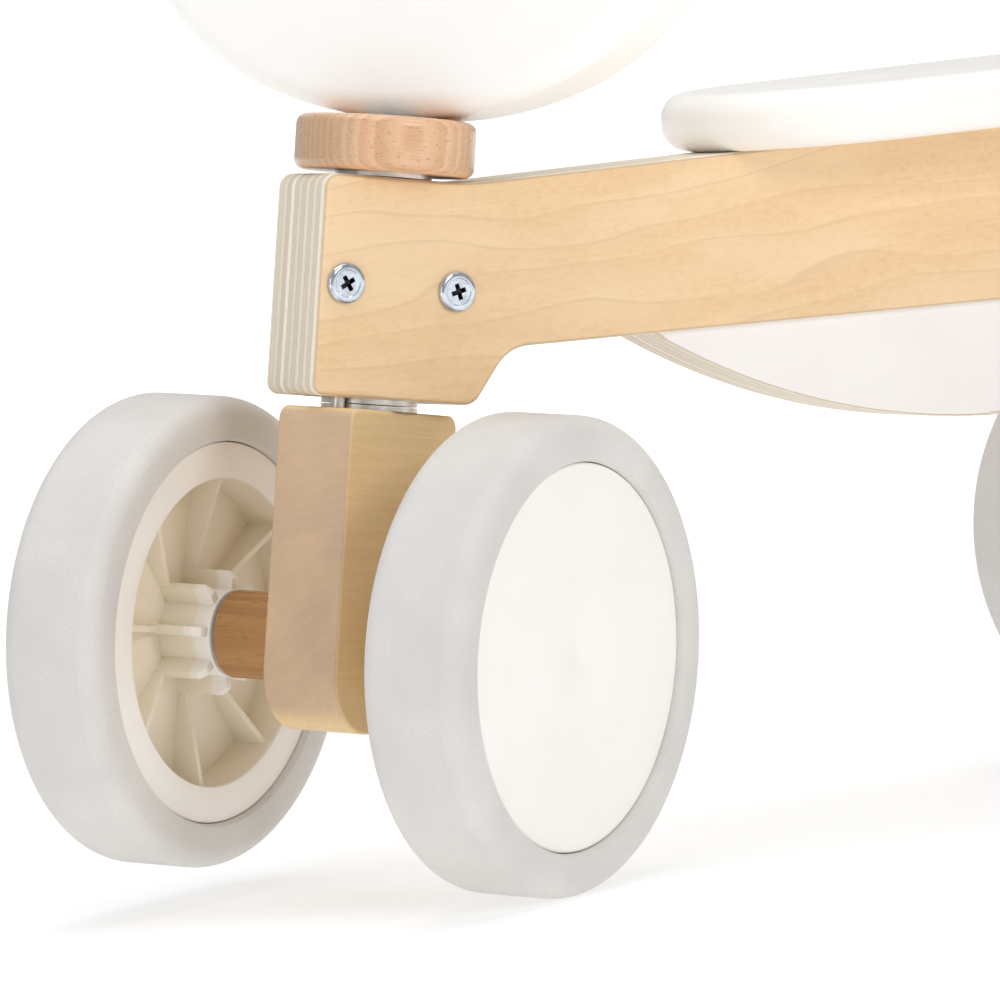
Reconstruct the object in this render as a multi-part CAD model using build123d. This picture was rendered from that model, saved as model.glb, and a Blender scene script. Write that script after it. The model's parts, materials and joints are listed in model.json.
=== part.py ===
from build123d import *
import math
import os

# Child's four-wheeled balance bike: plywood frame, steered front fork with two wheels,
# fixed rear axle with two wheels, white seat, belly board and head board.
# Millimetres. X points forward, Y to the rider's left, Z up. The origin is on the floor,
# under the middle of the whole bike as it stands with its fork turned to the left.

# ---- wheels and axles ---------------------------------------------------------------
WHEEL_R = 70.0            # outer radius of every tyre
WHEELBASE = 331.0         # between the two axles
FRONT_AXLE_X = 152.0      # front axle ahead of the origin
MIDDLE_Y = 6.9            # bike's middle plane to the left of the origin
HEAD_TILT = 10.0           # steering axis leans back from vertical, degrees
STEER_REST = 29.4         # fork turned to the rider's left as the bike stands, degrees
STEER_STOP = 40.0         # fork's travel each way from straight ahead, degrees
TRACK_HALF = 62.0         # wheel's middle plane from the bike's middle plane
TYRE_HALF = 16.5          # half the width of a tyre
SHOULDER = 6.0            # rounding of the tyre's shoulders
TYRE_LIP = 1.5            # bevel of its inner edge beside the cap
RIM_R = 54.0              # tyre sits on this radius
LIP_R = 56.5              # flat ring on the hub's inner side, and the cap on its outer side
RIM_INNER_R = 45.8        # inside of the rim
RING_FACE = -14.5         # hub's inner face, from the wheel's middle plane
CAP_FACE = 14.6           # cap's outer face, from the wheel's middle plane
BOSS_R = 13.0
BOSS_INNER = -19.5
BOSS_OUTER = 2.0
FIN_R = 18.5
SPOKES = 8
AXLE_R = 4.0              # steel axle rods
AXLE_TUBE_R = 13.0        # wooden axle tube round each rod
BUSHING_R = 7.0

# ---- boards and blocks --------------------------------------------------------------
BOARD_T = 30.0            # plywood frame
BELLY_T = 24.0
HEAD_T = 30.0
BLOCK_T = 25.4            # fork block and rear block, across the bike
BLOCK_HALF = 29.0         # fork block and rear block, half their length along the bike
BLOCK_DROP = 26.5         # their lower ends below the axle
BLOCK_CORNER = 18.0
GAP = 0.3                 # air between parts that move past each other
FIT = 0.05                # radial clearance of a running fit

# ---- steering column, heights along its axis from the front axle ---------------------
BOLT_R = 5.0              # steering bolt
SLEEVE_R = 8.0            # steel sleeve in the neck
WASHER_R = 14.2
FORK_WASHER_T = 1.4
NECK_WASHER_T = 1.5
BLOCK_TOP = 68.0
NECK_BOTTOM = BLOCK_TOP + FORK_WASHER_T + GAP + NECK_WASHER_T
NECK_TOP = 136.0
NECK_FRONT = 26.9         # neck's front end ahead of the steering axis
COLLAR_WASHER_T = 1.2
COLLAR_BOTTOM = NECK_TOP + GAP + COLLAR_WASHER_T
COLLAR_T = 16.3
COLLAR_R = 26.5
COLLAR_TOP = COLLAR_BOTTOM + COLLAR_T
STOP_R = 17.0             # stop pin from the steering axis
PIN_R = 2.0
GROOVE_DEPTH = 8.0
HEAD_BOTTOM = COLLAR_TOP + 0.4
HEAD_HALF_W = 94.0
HEAD_HALF_H = 62.0
HEAD_SETBACK = 14.0       # head board's middle plane behind the steering axis
BAR_HEIGHT = HEAD_BOTTOM + 66.0
BAR_R = 11.0
BAR_HALF = 150.0
GRIP_START = 104.0
GRIP_R = 14.0

# ---- frame, seat and belly: distances back from the front axle and up from the floor --
UNDER_START = (52.5, 151.2)     # where the neck meets the underside of the beam
UNDER_RISE = -1.5               # beam's underside falls towards the rear, degrees
TOP_START = (43.6, 200.5)       # where the neck's top line meets the level seat line
TOP_RISE = 0.0                  # seat line is level
FRAME_END = 372.0
BELLY_R = 237.6
BELLY_MIDDLE = (231.4, 111.8)   # lowest point of the belly's arc
SEAT_NOSE = 129.5
SEAT_LEN = 215.0
SEAT_T = 17.5
SEAT_HALF_FRONT = 53.0
SEAT_HALF_REAR = 62.0
SEAT_BOLTS = (60.0, 160.0)      # behind the seat's nose
SMALL_BOLT_R = 3.0
NUT_R = 5.0                     # barrel nuts, blind from the right-hand side
NECK_BOLTS = ((18.4, 104.2), (-18.4, 104.2))
BLOCK_BOLT_X = 21.0             # rear block's bolts ahead of and behind the axle

# The turned fork lowers and leans its left wheel, so the front axle stands this much higher.
AXLE_SLOPE = math.sin(math.radians(HEAD_TILT)) * math.sin(math.radians(STEER_REST))
AXLE_LIFT = ((TRACK_HALF + TYRE_HALF - SHOULDER) * AXLE_SLOPE
             - (WHEEL_R - SHOULDER) * (1 - math.sqrt(1 - AXLE_SLOPE ** 2)))
FRONT_Z = WHEEL_R + AXLE_LIFT
REAR_X = FRONT_AXLE_X - WHEELBASE

NECK = Pos(FRONT_AXLE_X, 0, FRONT_Z) * Rot(0, -HEAD_TILT, 0)
FORK = NECK * Rot(0, 0, STEER_REST)
REAR = Pos(REAR_X, 0, WHEEL_R)
def neck_point(x, z):
    """A point of the neck, ahead of the steering axis and up along it, as bike X and Z."""
    tilt = math.radians(HEAD_TILT)
    across_x = FRONT_AXLE_X + x * math.cos(tilt) - z * math.sin(tilt)
    up_z = FRONT_Z + x * math.sin(tilt) + z * math.cos(tilt)
    return across_x, up_z


def frame_point(start, rise, back):
    """A point on a straight line that starts at (back, up) and rises to the rear."""
    up = start[1] + (back - start[0]) * math.tan(math.radians(rise))
    return FRONT_AXLE_X - back, up + AXLE_LIFT


SEAT_X, SEAT_Z = frame_point(TOP_START, TOP_RISE, SEAT_NOSE)
SEAT = Pos(SEAT_X, 0, SEAT_Z) * Rot(0, TOP_RISE, 0)


def rod(radius, low, high):
    """A round bar along Z."""
    return Pos(0, 0, (low + high) / 2) * Cylinder(radius, high - low)


def tube(outer, inner, low, high):
    """A round tube along Z."""
    return rod(outer, low, high) - rod(inner, low - 1, high + 1)


def along_y(shape):
    """Lay a shape that runs along Z so that its upper end points to the left."""
    return Rot(-90, 0, 0) * shape


def to_right(shape):
    """Lay a shape that runs along Z so that its upper end points to the right."""
    return Rot(90, 0, 0) * shape


def side_board(points, radii, thickness, soften):
    """A board standing in the XZ plane, with rounded corners and softened edges."""
    outline = FilletPolyline(*[(x, z) for x, z in points], radius=radii, close=True)
    face = Plane.XZ * make_face(outline)
    board = extrude(face, thickness / 2, both=True)
    half = thickness / 2
    rims = board.edges().filter_by(lambda edge: abs(abs(edge.center().Y) - half) < 0.01)
    return fillet(rims, soften)


def turned(profile):
    """A turned piece about Z, from points of its half section as (radius, height)."""
    section = make_face(Polyline(*[(r, 0, z) for r, z in profile], close=True))
    return revolve(section, Axis.Z, 360)


# ---- frame ---------------------------------------------------------------------------

def frame_board():
    points = [
        neck_point(NECK_FRONT, NECK_BOTTOM),
        neck_point(-27.0, NECK_BOTTOM),
        frame_point(UNDER_START, UNDER_RISE, UNDER_START[0]),
        frame_point(UNDER_START, UNDER_RISE, FRAME_END),
        frame_point(TOP_START, TOP_RISE, FRAME_END),
        frame_point(TOP_START, TOP_RISE, TOP_START[0]),
        neck_point(NECK_FRONT, NECK_TOP),
    ]
    board = side_board(points, [3.5, 6, 14, 16, 20, 90, 4.5], BOARD_T, 1.4)
    board -= NECK * rod(SLEEVE_R, 0, 200)
    board -= NECK * stop_groove()
    for x, z in NECK_BOLTS:
        board -= NECK * Pos(x, 0, z) * along_y(rod(4.2, -BOARD_T, BOARD_T))
    for back in SEAT_BOLTS:
        board -= SEAT * Pos(-back, 0, 0) * nut_pocket(-25)
    for x in (-BLOCK_BOLT_X, BLOCK_BOLT_X):
        board -= Pos(REAR_X + x, 0, 0) * nut_pocket(block_nut_z(), below=True)
    for back in belly_dowel_places():
        x, z = frame_point(UNDER_START, UNDER_RISE, back)
        board -= Pos(x, 0, z) * rod(4, -20, 12)
    return board


def stop_groove():
    """Arc in the neck's underside that the fork's stop pin runs in."""
    half_angle = STEER_STOP + 1.5
    width = PIN_R + GAP
    ring = tube(STOP_R + width, STOP_R - width, NECK_BOTTOM - 1, NECK_BOTTOM + GROOVE_DEPTH)
    keep = Pos(0, 0, NECK_BOTTOM) * extrude(
        make_face(Polyline((0, 0), wedge_point(-half_angle), wedge_point(half_angle), close=True)),
        2 * GROOVE_DEPTH, both=True)
    groove = ring & keep
    for side in (-1, 1):
        turn = Rot(0, 0, side * half_angle)
        groove += turn * Pos(STOP_R, 0, 0) * rod(width, NECK_BOTTOM - 1, NECK_BOTTOM + GROOVE_DEPTH)
    return groove


def wedge_point(angle):
    """A point well outside the groove, at an angle from straight ahead."""
    reach = 60.0
    return reach * math.cos(math.radians(angle)), reach * math.sin(math.radians(angle))


def nut_pocket(z, below=False):
    """Hole for a furniture bolt and its barrel nut, blind from the right-hand side."""
    nut_hole = Pos(0, 0, z) * to_right(rod(NUT_R + FIT, -7, 40))
    bolt_hole = rod(SMALL_BOLT_R + 0.2, 30, z + 10) if below else rod(SMALL_BOLT_R + 0.2, z - 10, 30)
    return nut_hole + bolt_hole


def block_nut_z():
    """Height of the barrel nuts over the rear block."""
    return frame_point(UNDER_START, UNDER_RISE, WHEELBASE)[1] + 24


def belly_dowel_places():
    """Distances back from the front axle of the belly board's dowels."""
    return [145 + 60 * index for index in range(3)]


def belly_board():
    middle_x = FRONT_AXLE_X - BELLY_MIDDLE[0]
    middle_z = BELLY_MIDDLE[1] + AXLE_LIFT + BELLY_R
    half = BELLY_T / 2
    disc = Pos(middle_x, 0, middle_z) * along_y(rod(BELLY_R, -half, half))
    block_front = WHEELBASE - BLOCK_HALF
    corners = [
        frame_point(UNDER_START, UNDER_RISE, 70),
        frame_point(UNDER_START, UNDER_RISE, block_front),
        (FRONT_AXLE_X - block_front, BELLY_MIDDLE[1] - 20),
        (FRONT_AXLE_X - 70, BELLY_MIDDLE[1] - 20),
    ]
    below = extrude(Plane.XZ * make_face(Polyline(*corners, close=True)), BELLY_T, both=True)
    board = disc & below
    low = board.edges().filter_by(
        lambda edge: abs(abs(edge.center().Y) - half) < 0.01 and edge.geom_type == GeomType.CIRCLE)
    board = fillet(low, 1.2)
    for back in belly_dowel_places():
        x, z = frame_point(UNDER_START, UNDER_RISE, back)
        board -= Pos(x, 0, z) * rod(4, -10, 20)
    return board


def belly_dowels():
    pegs = []
    for back in belly_dowel_places():
        x, z = frame_point(UNDER_START, UNDER_RISE, back)
        pegs.append(Pos(x, 0, z) * rod(4 - FIT, -9.5, 11.5))
    return Compound(pegs)


def steering_sleeve():
    return NECK * tube(SLEEVE_R, BOLT_R + FIT, NECK_BOTTOM, NECK_TOP)


def neck_washer():
    return NECK * tube(WASHER_R, BOLT_R + GAP, NECK_BOTTOM - NECK_WASHER_T, NECK_BOTTOM)


def screw_dome(shaft_from, shaft_r, hollow_r):
    """Domed cross-head fastener along Z: the dome stands on z = 0, its shank goes down."""
    dome = turned([(0, 0), (6, 0), (6, 0.5), (5.7, 1.0), (5.1, 1.5), (4.3, 1.9), (4.0, 1.9),
                   (3.8, 1.75), (0, 1.75)])
    dome = dome + rod(shaft_r, -shaft_from, 0.2)
    for turn in (0, 90):
        dome -= Pos(0, 0, 1.5) * Rot(0, 0, turn) * Box(5.0, 1.1, 2.2)
    if hollow_r:
        dome -= rod(hollow_r, -shaft_from - 1, -2)
    return dome


def neck_fasteners(hollow):
    """Bolts from the left, or the sleeve nuts that take them from the right."""
    pieces = []
    half = BOARD_T / 2
    for x, z in NECK_BOLTS:
        if hollow:
            piece = Pos(0, -half, 0) * to_right(screw_dome(24, 4.1, 2.95))
        else:
            piece = Pos(0, half, 0) * along_y(screw_dome(24, 2.9, 0))
        pieces.append(NECK * Pos(x, 0, z) * Rot(0, 20 * math.copysign(1, x), 0) * piece)
    return Compound(pieces)


# ---- seat ----------------------------------------------------------------------------

def seat():
    corners = [(0, -SEAT_HALF_FRONT), (0, SEAT_HALF_FRONT),
               (-SEAT_LEN, SEAT_HALF_REAR), (-SEAT_LEN, -SEAT_HALF_REAR)]
    outline = FilletPolyline(*corners, radius=[50, 50, 45, 45], close=True)
    board = extrude(make_face(outline), SEAT_T)
    board = fillet(board.edges().filter_by(Axis.Z, reverse=True).filter_by(
        lambda edge: edge.center().Z < 0.01 or edge.center().Z > SEAT_T - 0.01), 7.5)
    for back in SEAT_BOLTS:
        board -= Pos(-back, 0, 0) * rod(SMALL_BOLT_R + 0.2, -1, 20)
        board -= Pos(-back, 0, 0) * rod(7, SEAT_T - 8, 20)
    return SEAT * board


def seat_bolts():
    bolt = rod(6.4, SEAT_T - 8, SEAT_T - 4) + rod(SMALL_BOLT_R, -33, SEAT_T - 7)
    bolt -= rod(2.2, SEAT_T - 6.5, SEAT_T)
    return Compound([SEAT * Pos(-back, 0, 0) * bolt for back in SEAT_BOLTS])


def seat_bolt_plugs():
    plug = rod(6.95, SEAT_T - 3.6, SEAT_T + 0.2)
    return Compound([SEAT * Pos(-back, 0, 0) * plug for back in SEAT_BOLTS])


def barrel_nut():
    """Barrel nut lying along Y, threaded across its middle."""
    return to_right(rod(NUT_R, -6.5, BOARD_T / 2 - 1)) - rod(SMALL_BOLT_R, -20, 20)


def seat_barrel_nuts():
    return Compound([SEAT * Pos(-back, 0, -25) * barrel_nut() for back in SEAT_BOLTS])


# ---- rear block ----------------------------------------------------------------------

def rear_block():
    front = WHEELBASE - BLOCK_HALF
    back = WHEELBASE + BLOCK_HALF
    low = WHEEL_R - BLOCK_DROP
    points = [
        (REAR_X + BLOCK_HALF, low),
        (REAR_X - BLOCK_HALF, low),
        frame_point(UNDER_START, UNDER_RISE, back),
        frame_point(UNDER_START, UNDER_RISE, front),
    ]
    block = side_board(points, [BLOCK_CORNER, BLOCK_CORNER, 1, 1], BLOCK_T, 0.8)
    block -= REAR * along_y(rod(AXLE_TUBE_R, -20, 20))
    for x in (-BLOCK_BOLT_X, BLOCK_BOLT_X):
        block -= Pos(REAR_X + x, 0, 0) * rod(SMALL_BOLT_R + 0.2, 0, 200)
        block -= Pos(REAR_X + x, 0, 0) * rod(5.6, 0, low + 9)
    return block


def rear_block_bolts():
    low = WHEEL_R - BLOCK_DROP + 9
    bolt = rod(5, low - 4, low) + rod(SMALL_BOLT_R, low - 1, block_nut_z() + 8)
    bolt -= rod(2, low - 6, low - 1.8)
    return Compound([Pos(REAR_X + x, 0, 0) * bolt for x in (-BLOCK_BOLT_X, BLOCK_BOLT_X)])


def rear_barrel_nuts():
    nut = Pos(0, 0, block_nut_z()) * barrel_nut()
    return Compound([Pos(REAR_X + x, 0, 0) * nut for x in (-BLOCK_BOLT_X, BLOCK_BOLT_X)])


# ---- axles ---------------------------------------------------------------------------

TUBE_END = TRACK_HALF + BOSS_INNER - GAP - 1.2     # axle tube's end, before its washer
NUT_START = TRACK_HALF + BOSS_OUTER + GAP + 1.2    # lock nut's inner face


def axle_tube():
    return along_y(tube(AXLE_TUBE_R, AXLE_R + FIT, -TUBE_END, TUBE_END))


def axle_rod():
    bar = rod(AXLE_R, -NUT_START - 7, NUT_START + 7)
    return along_y(chamfer(bar.edges(), 0.8))


def axle_washers():
    inner = tube(9, AXLE_R + FIT, TUBE_END, TUBE_END + 1.2)
    outer = tube(9, AXLE_R + FIT, NUT_START - 1.2, NUT_START)
    left = [along_y(inner), along_y(outer)]
    return Compound(left + [Rot(0, 0, 180) * washer for washer in left])


def axle_nuts():
    hexagon = extrude(RegularPolygon(6.5, 6, major_radius=False), 6) - rod(AXLE_R, -1, 7)
    nut = along_y(Pos(0, 0, NUT_START) * hexagon)
    return Compound([nut, Rot(0, 0, 180) * nut])


# ---- fork, collar, head and handlebar --------------------------------------------------

def fork_block():
    points = [(BLOCK_HALF, -BLOCK_DROP), (-BLOCK_HALF, -BLOCK_DROP),
              (-BLOCK_HALF, BLOCK_TOP), (BLOCK_HALF, BLOCK_TOP)]
    block = side_board(points, [BLOCK_CORNER, BLOCK_CORNER, 4, 4], BLOCK_T, 1.0)
    block -= along_y(rod(AXLE_TUBE_R, -20, 20))
    block -= rod(BOLT_R + 0.2, 18, 80)
    block -= Pos(0, 0, 36) * to_right(rod(7, -5, 20))
    block -= Pos(STOP_R, 0, 0) * rod(PIN_R, 52, 80)
    return FORK * block


def steering_bolt():
    bolt = rod(BOLT_R, 20, COLLAR_TOP - 5) + rod(9, COLLAR_TOP - 6, COLLAR_TOP - 1)
    socket = extrude(RegularPolygon(3, 6, major_radius=False), 4)
    return FORK * (bolt - Pos(0, 0, COLLAR_TOP - 4) * socket)


def steering_barrel_nut():
    nut = to_right(rod(7 - FIT, -4.8, BLOCK_T / 2 - 0.5)) - Pos(0, 0, -36) * rod(BOLT_R, 0, 80)
    return FORK * Pos(0, 0, 36) * nut


def fork_washer():
    return FORK * tube(WASHER_R, BOLT_R + FIT, BLOCK_TOP, BLOCK_TOP + FORK_WASHER_T)


def collar_washer():
    return FORK * tube(WASHER_R, BOLT_R + FIT, NECK_TOP + GAP, COLLAR_BOTTOM)


def stop_pin():
    pin = rod(PIN_R, 52.5, NECK_BOTTOM + GROOVE_DEPTH - 1.2)
    return FORK * Pos(STOP_R, 0, 0) * chamfer(pin.edges().sort_by(Axis.Z)[-1], 0.5)


def head_dowel_places():
    return [Pos(-HEAD_SETBACK, side * 12, 0) for side in (-1, 1)]


def collar():
    disc = fillet(rod(COLLAR_R, COLLAR_BOTTOM, COLLAR_TOP).edges().filter_by(GeomType.CIRCLE), 3.0)
    disc -= rod(BOLT_R + 0.2, 100, 200)
    disc -= rod(9.4, COLLAR_TOP - 6, 200)
    for place in head_dowel_places():
        disc -= place * rod(4, COLLAR_TOP - 10, 200)
    return FORK * disc


def head_dowels():
    peg = rod(4 - FIT, COLLAR_TOP - 9.5, HEAD_BOTTOM + 26)
    return FORK * Compound([place * peg for place in head_dowel_places()])


def head_board():
    middle = HEAD_BOTTOM + HEAD_HALF_H
    face = Plane.YZ * Pos(0, middle) * Ellipse(HEAD_HALF_W, HEAD_HALF_H)
    board = fillet(extrude(face, HEAD_T / 2, both=True).edges().filter_by(GeomType.ELLIPSE), 7.0)
    board = Pos(-HEAD_SETBACK, 0, 0) * board
    board -= Pos(-HEAD_SETBACK, 0, BAR_HEIGHT) * along_y(rod(BAR_R, -100, 100))
    for place in head_dowel_places():
        board -= place * rod(4, 100, HEAD_BOTTOM + 26.5)
    return FORK * board


def handlebar():
    bar = rod(BAR_R - FIT, -BAR_HALF, BAR_HALF)
    bar = chamfer(bar.edges().filter_by(GeomType.CIRCLE), 1.5)
    return FORK * Pos(-HEAD_SETBACK, 0, BAR_HEIGHT) * along_y(bar)


def grip(side):
    end = BAR_HALF + 3
    flange = GRIP_START + 3
    section = [
        (BAR_R, GRIP_START), (GRIP_R + 2, GRIP_START), (GRIP_R + 2, flange), (GRIP_R, flange + 1.5),
        (GRIP_R - 0.8, (GRIP_START + end) / 2), (GRIP_R, end - 6), (GRIP_R + 1, end - 3),
        (GRIP_R - 1, end), (0, end), (0, BAR_HALF + 0.2), (BAR_R, BAR_HALF + 0.2),
    ]
    lay = along_y if side > 0 else to_right
    return FORK * Pos(-HEAD_SETBACK, 0, BAR_HEIGHT) * lay(turned(section))


# ---- wheel: local Z is the axle and points away from the bike ---------------------------

def tyre():
    flat = TYRE_HALF - SHOULDER
    bore = LIP_R + GAP
    crown = Polyline((RIM_R, 0, RING_FACE + 3), (bore, 0, RING_FACE + 3),
                     (bore, 0, TYRE_LIP - TYRE_HALF), (bore + TYRE_LIP, 0, -TYRE_HALF),
                     (WHEEL_R - SHOULDER, 0, -TYRE_HALF))
    lower = ThreePointArc(crown @ 1, arc_point(-1), (WHEEL_R, 0, -flat))
    tread = Line(lower @ 1, (WHEEL_R, 0, flat))
    upper = ThreePointArc(tread @ 1, arc_point(1), (WHEEL_R - SHOULDER, 0, TYRE_HALF))
    seat_line = Polyline(upper @ 1, (bore + TYRE_LIP, 0, TYRE_HALF), (bore, 0, TYRE_HALF - TYRE_LIP),
                         (bore, 0, CAP_FACE - 3), (RIM_R, 0, CAP_FACE - 3),
                         (RIM_R, 0, RING_FACE + 3))
    section = make_face(Curve() + [crown, lower, tread, upper, seat_line])
    return revolve(section, Axis.Z, 360)


def arc_point(side):
    """Middle of a tyre's shoulder arc, on its inner (-1) or outer (+1) side."""
    inset = SHOULDER * (1 - math.sqrt(0.5))
    return WHEEL_R - inset, 0, side * (TYRE_HALF - inset)


def hub():
    rim_outer = CAP_FACE - 3.2
    body = tube(RIM_R, RIM_INNER_R, RING_FACE, rim_outer)
    body += tube(LIP_R, RIM_INNER_R, RING_FACE, RING_FACE + 2.8)
    body += tube(RIM_INNER_R + 1, BOSS_R - 1, -1.5, 1.5)
    body += rod(BOSS_R, BOSS_INNER, BOSS_OUTER)
    fin = Plane.XZ * make_face(Polyline((BOSS_R - 1, 0), (BOSS_R - 1, BOSS_INNER + 0.6),
                                        (FIN_R - 2.2, BOSS_INNER + 0.6), (FIN_R, BOSS_INNER + 2.8),
                                        (FIN_R, 0), close=True))
    gusset = Plane.XZ * make_face(Polyline((BOSS_R, 0), (BOSS_R, -3.0),
                                           (RIM_INNER_R + 1, RING_FACE + 2.5),
                                           (RIM_INNER_R + 1, 0), close=True))
    spoke = extrude(fin, 1.5, both=True) + extrude(gusset, 1.0, both=True)
    for index in range(SPOKES):
        body += Rot(0, 0, index * 360 / SPOKES) * spoke
    body -= rod(BUSHING_R, -40, 40)
    return body


def cap():
    disc = rod(LIP_R, CAP_FACE - 3, CAP_FACE)
    disc = fillet(disc.edges().sort_by(Axis.Z)[-1], 1.0)
    skirt = tube(RIM_INNER_R - 0.1, RIM_INNER_R - 2.1, CAP_FACE - 8, CAP_FACE - 2.9)
    return disc + skirt


def bushing():
    return tube(BUSHING_R - FIT, AXLE_R + FIT, BOSS_INNER, BOSS_OUTER)


def nodes():
    """Every named piece of the bike, in place."""
    pieces = {
        "frame_board": frame_board(),
        "belly_board": belly_board(),
        "belly_dowels": belly_dowels(),
        "steering_sleeve": steering_sleeve(),
        "neck_washer": neck_washer(),
        "neck_bolts": neck_fasteners(hollow=False),
        "neck_sleeve_nuts": neck_fasteners(hollow=True),
        "seat": seat(),
        "seat_bolts": seat_bolts(),
        "seat_bolt_plugs": seat_bolt_plugs(),
        "seat_barrel_nuts": seat_barrel_nuts(),
        "rear_block": rear_block(),
        "rear_block_bolts": rear_block_bolts(),
        "rear_barrel_nuts": rear_barrel_nuts(),
        "fork_block": fork_block(),
        "steering_bolt": steering_bolt(),
        "steering_barrel_nut": steering_barrel_nut(),
        "fork_washer": fork_washer(),
        "collar_washer": collar_washer(),
        "stop_pin": stop_pin(),
        "collar": collar(),
        "head_dowels": head_dowels(),
        "head_board": head_board(),
        "handlebar": handlebar(),
        "left_grip": grip(1),
        "right_grip": grip(-1),
    }
    for end, place in (("front", FORK), ("rear", REAR)):
        pieces[end + "_axle_tube"] = place * axle_tube()
        pieces[end + "_axle_rod"] = place * axle_rod()
        pieces[end + "_axle_washers"] = place * axle_washers()
        pieces[end + "_axle_nuts"] = place * axle_nuts()
        for side, lay in (("left", along_y), ("right", to_right)):
            offset = TRACK_HALF if side == "left" else -TRACK_HALF
            for name, make in (("tyre", tyre), ("hub", hub), ("cap", cap), ("bushing", bushing)):
                pieces[f"{end}_{side}_{name}"] = place * Pos(0, offset, 0) * lay(make())
    return pieces


os.makedirs("parts", exist_ok=True)
for node_name, shape in nodes().items():
    export_step(Pos(0, MIDDLE_Y, 0) * shape, f"parts/{node_name}.step")
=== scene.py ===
import json
import math
import bpy
from mathutils import Matrix, Vector


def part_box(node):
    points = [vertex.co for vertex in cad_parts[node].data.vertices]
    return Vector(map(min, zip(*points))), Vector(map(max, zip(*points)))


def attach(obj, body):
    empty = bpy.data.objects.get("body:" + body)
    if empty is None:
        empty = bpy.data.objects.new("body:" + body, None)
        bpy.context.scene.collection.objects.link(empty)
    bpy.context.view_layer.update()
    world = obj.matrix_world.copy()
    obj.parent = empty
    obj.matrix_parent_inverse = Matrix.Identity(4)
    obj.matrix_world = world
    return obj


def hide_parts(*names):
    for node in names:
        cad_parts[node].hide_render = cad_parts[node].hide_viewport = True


# Child's four-wheeled balance bike: a thick plywood frame with a painted belly board and
# seat, and a turned fork with its collar, head board and handlebar, on four small wheels.
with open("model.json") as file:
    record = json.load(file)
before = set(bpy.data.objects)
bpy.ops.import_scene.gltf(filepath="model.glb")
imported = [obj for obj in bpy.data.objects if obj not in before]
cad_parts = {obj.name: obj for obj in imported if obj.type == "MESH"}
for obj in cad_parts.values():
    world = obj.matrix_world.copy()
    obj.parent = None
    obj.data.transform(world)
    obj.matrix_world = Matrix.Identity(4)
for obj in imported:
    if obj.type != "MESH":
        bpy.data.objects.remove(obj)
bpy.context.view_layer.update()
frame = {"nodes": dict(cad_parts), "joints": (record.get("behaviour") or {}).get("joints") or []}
nodes = frame["nodes"]
joints = {joint["name"]: joint for joint in frame["joints"]}
scene = bpy.context.scene

# ---------------------------------------------------------------------------------------
# Studio: a long lens low down at the front left of the bike, on a white sweep, with a
# broad soft key on the camera's right, a ceiling bank and a weak fill on the left.
CAMERA_DISTANCE = 2.6
CAMERA_LENS = 319.35
CAMERA_SIDEWAYS = 0.04263
CAMERA_RAISED = 0.04163
SKY_LIGHT = 0.47
FLOOR_SIZE = 14.0
FLOOR_GREY = 0.56
FLOOR_GLOW_NEAR, FLOOR_GLOW_FAR = 0.53, 0.95
FLOOR_NEAR, FLOOR_FAR = 0.7, 1.6
towards_camera = Vector((0.4778, 0.8747, 0.0816)).normalized()
camera_right = Vector((-0.8704, 0.4839, -0.0906)).normalized()
camera_up = towards_camera.cross(camera_right).normalized()
front_axle = Vector(joints["steering"]["pos_m"])

lens = bpy.data.cameras.new("long_lens")
lens.sensor_width = 36.0
lens.lens = CAMERA_LENS
lens.clip_end = 50.0
camera = bpy.data.objects.new("camera", lens)
scene.collection.objects.link(camera)
stand = (front_axle + towards_camera * CAMERA_DISTANCE
         + camera_right * CAMERA_SIDEWAYS + camera_up * CAMERA_RAISED)
turn = Matrix((camera_right, camera_up, towards_camera)).transposed().to_4x4()
camera.matrix_world = Matrix.Translation(stand) @ turn
scene.camera = camera
scene.view_settings.view_transform = "Standard"
scene.view_settings.look = "None"


def deselect():
    """Nothing selected, as an empty bench."""
    for thing in bpy.context.selected_objects:
        thing.select_set(False)


def softbox(name, side, back, height, size, watts, colour=(1.0, 1.0, 1.0)):
    """A square soft light that looks at the bike, placed by the camera's own directions."""
    lamp = bpy.data.lights.new(name, "AREA")
    lamp.shape = "SQUARE"
    lamp.size = size
    lamp.energy = watts
    lamp.color = colour
    thing = bpy.data.objects.new(name, lamp)
    scene.collection.objects.link(thing)
    aim = Vector((0.0, 0.0, 0.12))
    place = aim + camera_right * side + towards_camera * back + Vector((0, 0, height))
    thing.matrix_world = (Matrix.Translation(place)
                          @ (place - aim).to_track_quat("Z", "Y").to_matrix().to_4x4())


softbox("key_softbox", 0.95, 1.4, 0.75, 0.5, 6.6)
softbox("ceiling_bank", 0.0, 0.0, 2.0, 2.0, 25.0)
softbox("fill_softbox", -1.2, 1.3, 0.1, 1.0, 3.2, (0.98, 0.99, 1.0))

sky = bpy.data.worlds.new("white_sweep")
scene.world = sky
sky.use_nodes = True
sky_tree = sky.node_tree
sky_tree.nodes.clear()
sky_out = sky_tree.nodes.new("ShaderNodeOutputWorld")
sky_seen = sky_tree.nodes.new("ShaderNodeBackground")
sky_seen.inputs["Strength"].default_value = 1.0
sky_seen.inputs["Color"].default_value = (1.0, 1.0, 1.0, 1.0)
sky_lit = sky_tree.nodes.new("ShaderNodeBackground")
sky_lit.inputs["Color"].default_value = (0.97, 0.985, 1.0, 1.0)
sky_lit.inputs["Strength"].default_value = SKY_LIGHT
sky_path = sky_tree.nodes.new("ShaderNodeLightPath")
sky_choice = sky_tree.nodes.new("ShaderNodeMixShader")
sky_tree.links.new(sky_path.outputs["Is Camera Ray"], sky_choice.inputs[0])
sky_tree.links.new(sky_lit.outputs[0], sky_choice.inputs[1])
sky_tree.links.new(sky_seen.outputs[0], sky_choice.inputs[2])
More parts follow.
